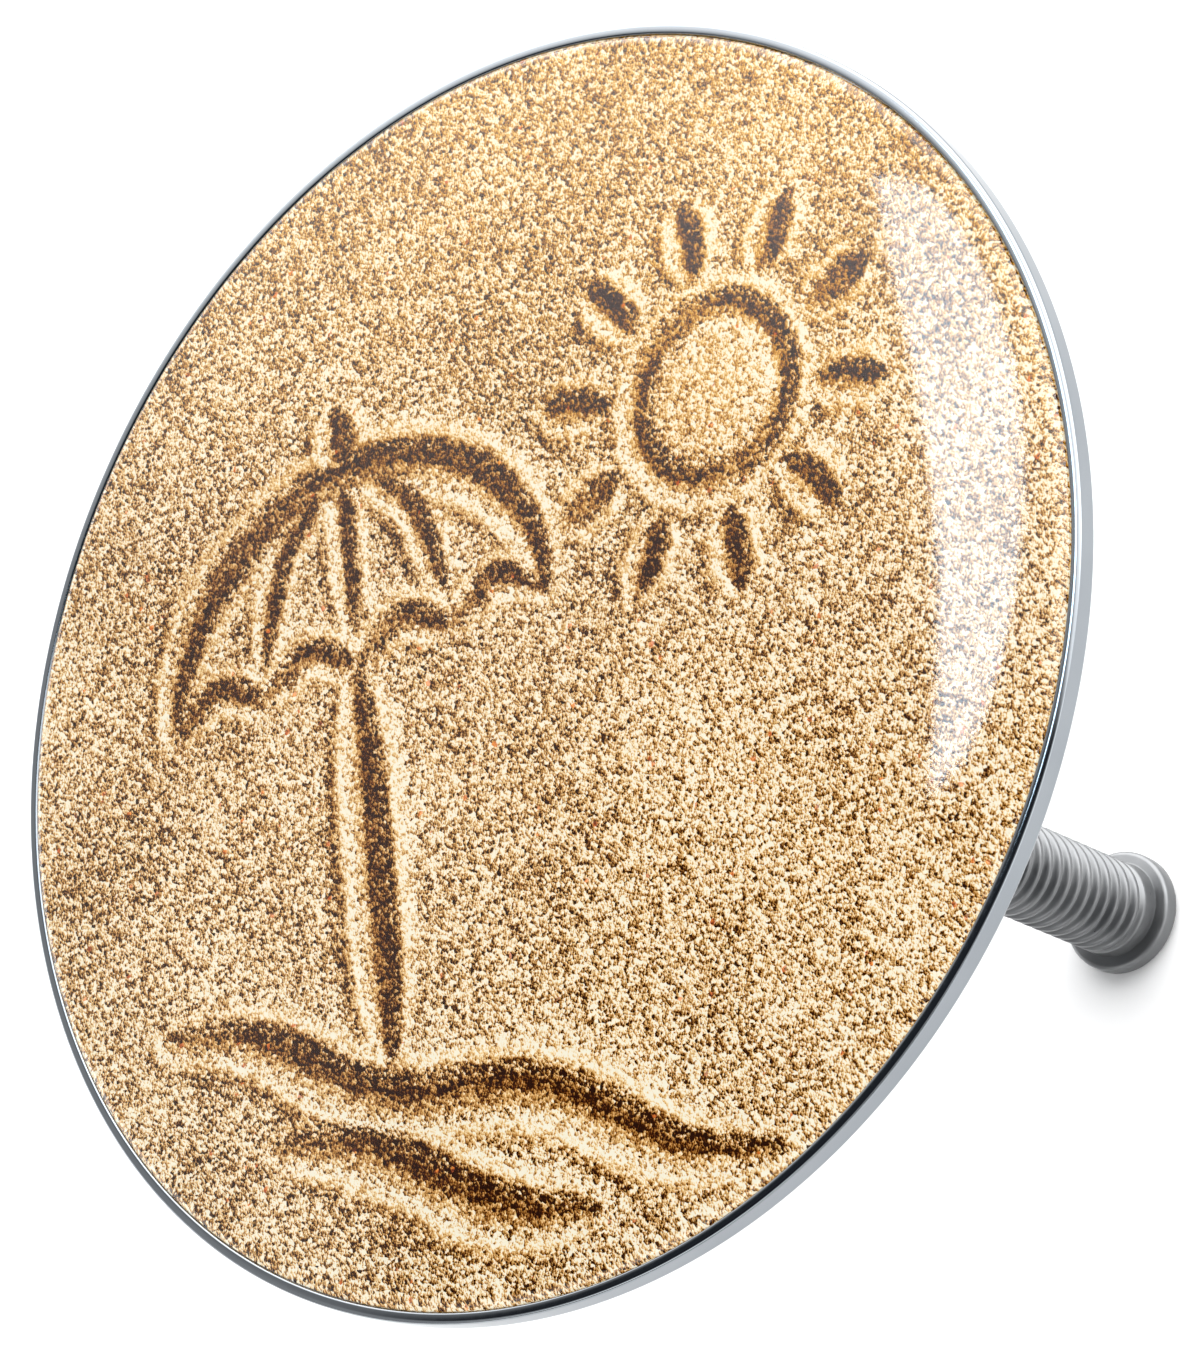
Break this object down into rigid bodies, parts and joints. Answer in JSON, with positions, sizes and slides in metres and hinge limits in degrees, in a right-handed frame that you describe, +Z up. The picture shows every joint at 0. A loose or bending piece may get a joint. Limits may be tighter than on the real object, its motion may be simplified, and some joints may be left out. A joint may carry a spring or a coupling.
{
  "type": "bath drain plug",
  "caption": "Round chromed pop-up bath plug with a picture under clear resin, a rubber seal on a carrier, and a threaded stem with a flat foot that sets its height.",
  "frame": {"origin": "centre of the stem's flat foot, where the waste's lifting lever bears", "axes": "+Z up along the stem to the cap, +X to the picture's right and +Y to its top"},
  "size_m": [0.073, 0.073, 0.0588],
  "materials": {
    "chrome": "bright chrome plating",
    "plated_brass": "nickel plated, turned",
    "steel": "bright zinc plated",
    "adhesive": "clear acrylic film",
    "print": "printed sand picture",
    "resin": "clear, high gloss",
    "black_plastic": "moulded, fine texture",
    "rubber": "soft, matt"
  },
  "bodies": {
    "stem": {"threaded_stem": "steel"},
    "seal": {"seal_ring": "rubber"},
    "cap": {"cap_plate": "chrome", "adhesive_film": "adhesive", "picture_film": "print", "resin_dome": "resin", "threaded_boss": "plated_brass", "carrier_gasket": "rubber", "seal_carrier": "black_plastic", "clamp_washer": "steel", "clamp_nut": "plated_brass"},
    "stem_washer": {"lock_washer": "steel"},
    "stem_nut": {"lock_nut": "steel"}
  },
  "joints": [
    {"name": "cap_travel", "type": "slide", "parent": "stem", "child": "seal", "axis": [0, 0, 1], "range_m": [-0.00825, 0.00575]},
    {"name": "cap_turn", "type": "hinge", "parent": "seal", "child": "cap", "pos_m": [0, 0, 0.0465], "axis": [0, 0, 1], "range_deg": [-2970, 2070]},
    {"name": "nut_travel", "type": "slide", "parent": "cap", "child": "stem_washer", "axis": [0, 0, 1], "range_m": [-0.01725, 0]},
    {"name": "nut_turn", "type": "hinge", "parent": "stem_washer", "child": "stem_nut", "pos_m": [0, 0, 0.03], "axis": [0, 0, 1], "range_deg": [-6210, 0]}
  ],
  "couplings": [
    {"joint": "cap_travel", "follows": "cap_turn", "m_per_rad": 0.00015915},
    {"joint": "nut_travel", "follows": "nut_turn", "m_per_rad": 0.00015915}
  ]
}
